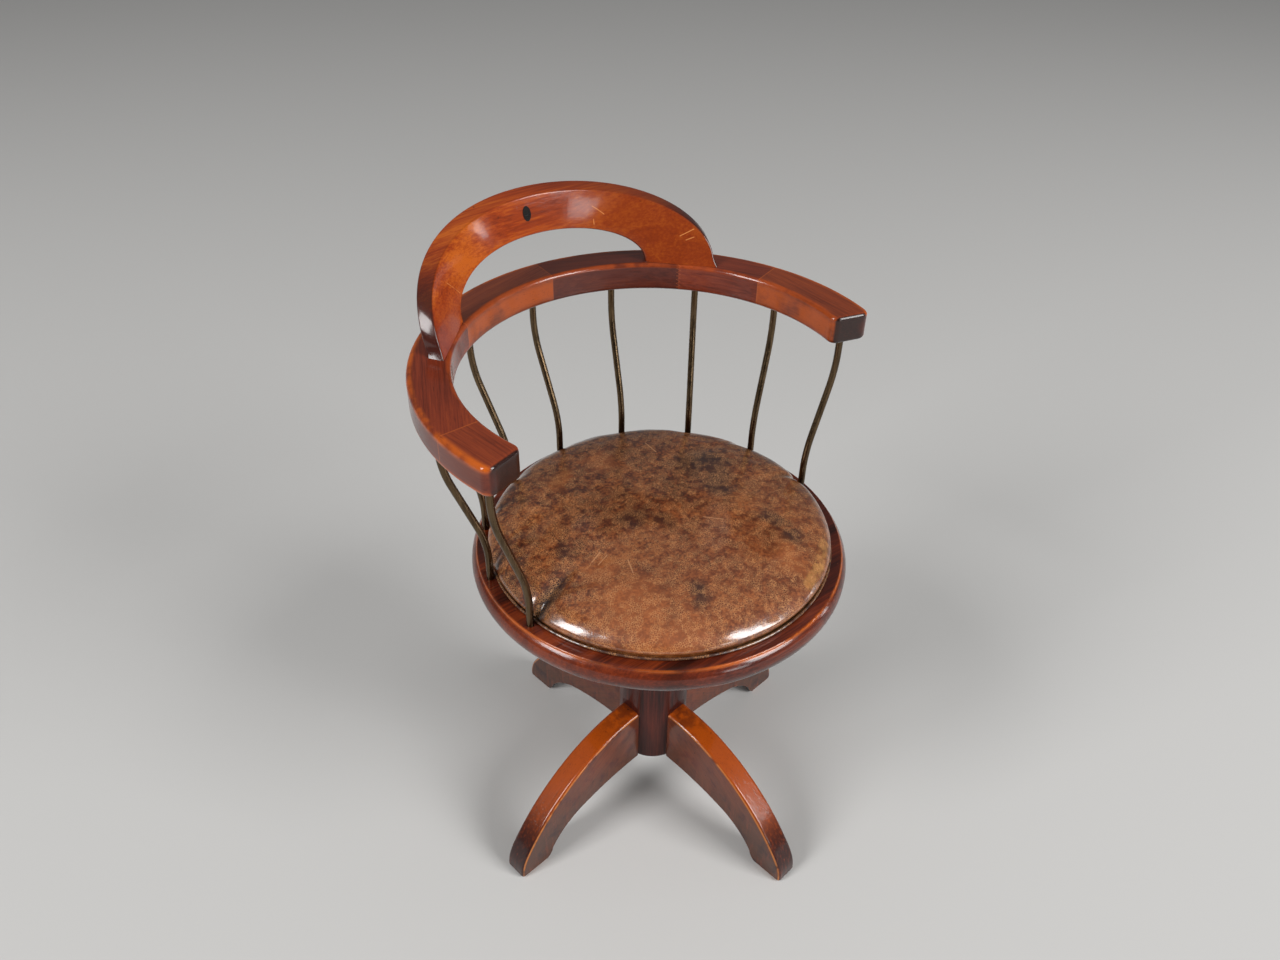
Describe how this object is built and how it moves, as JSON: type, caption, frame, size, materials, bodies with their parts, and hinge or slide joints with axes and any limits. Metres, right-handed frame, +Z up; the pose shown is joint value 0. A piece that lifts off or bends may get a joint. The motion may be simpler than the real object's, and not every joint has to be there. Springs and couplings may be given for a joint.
{
  "type": "bankers swivel chair",
  "caption": "Swivel desk chair: splayed wooden legs under a screw column, round leather seat, bent rods carrying a horseshoe arm rail and an arched crest.",
  "frame": {"origin": "on the floor, under the swivel axis", "axes": "+Z up along the swivel axis; the sitter faces -Y; +X is the sitter's left"},
  "size_m": [0.5104, 0.5122, 0.7435],
  "materials": {
    "mahogany": "stained hardwood under worn gloss varnish",
    "amber_mahogany": "stained hardwood, paler and more orange, gloss varnish",
    "dark_mahogany": "dark stained hardwood, gloss varnish",
    "board_wood": "plain board, unfinished",
    "pale_wood": "plain beech, unfinished",
    "dark_plug": "near-black oval plug",
    "aged_leather": "hand-rubbed brown leather, fine crackle, waxed",
    "leather_welt": "dark brown piping",
    "antique_bronze": "dark aged bronze finish on bent rod",
    "iron": "black painted casting",
    "machined_steel": "turned, oiled",
    "bush_brass": "turned bush",
    "screw_steel": "countersunk heads, dulled"
  },
  "bodies": {
    "base": {"hub_column": "dark_mahogany", "leg_front": "mahogany", "leg_right": "mahogany", "leg_rear": "mahogany", "leg_left": "mahogany", "leg_dowels": "pale_wood", "hub_bush": "bush_brass", "hub_plate": "iron", "hub_plate_screws": "screw_steel"},
    "swivel": {"swivel_sleeve": "machined_steel", "sleeve_key": "machined_steel", "lock_washer": "machined_steel", "lock_nut": "iron"},
    "height_nut": {"height_handwheel": "iron"},
    "seat": {"height_screw": "machined_steel", "iron_pin": "machined_steel", "seat_iron": "iron", "seat_iron_screws": "screw_steel", "seat_board": "board_wood", "seat_ring_screws": "screw_steel", "seat_ring": "mahogany", "cushion_board": "board_wood", "cushion": "aged_leather", "cushion_welt": "leather_welt", "rod_1": "antique_bronze", "rod_2": "antique_bronze", "rod_3": "antique_bronze", "rod_4": "antique_bronze", "rod_5": "antique_bronze", "rod_6": "antique_bronze", "rod_7": "antique_bronze", "rod_8": "antique_bronze", "rod_9": "antique_bronze", "rail_right_end": "mahogany", "rail_right_shoulder": "mahogany", "rail_right_back": "mahogany", "rail_left_back": "mahogany", "rail_left_shoulder": "mahogany", "rail_left_arm": "mahogany", "rail_splines": "pale_wood", "crest": "amber_mahogany", "crest_dowels": "pale_wood", "crest_plug": "dark_plug"}
  },
  "joints": [
    {"name": "seat_swivel", "type": "hinge", "parent": "base", "child": "swivel", "pos_m": [0, 0, 0.25], "axis": [0, 0, 1], "continuous": true},
    {"name": "seat_rise", "type": "slide", "parent": "swivel", "child": "seat", "axis": [0, 0, 1], "range_m": [-0.015, 0.06]},
    {"name": "handwheel_turn", "type": "hinge", "parent": "swivel", "child": "height_nut", "pos_m": [0, 0, 0.27], "axis": [0, 0, -1], "range_deg": [-675.01, 2700.01]}
  ],
  "couplings": [
    {"joint": "handwheel_turn", "follows": "seat_rise", "rad_per_m": 785.4}
  ]
}
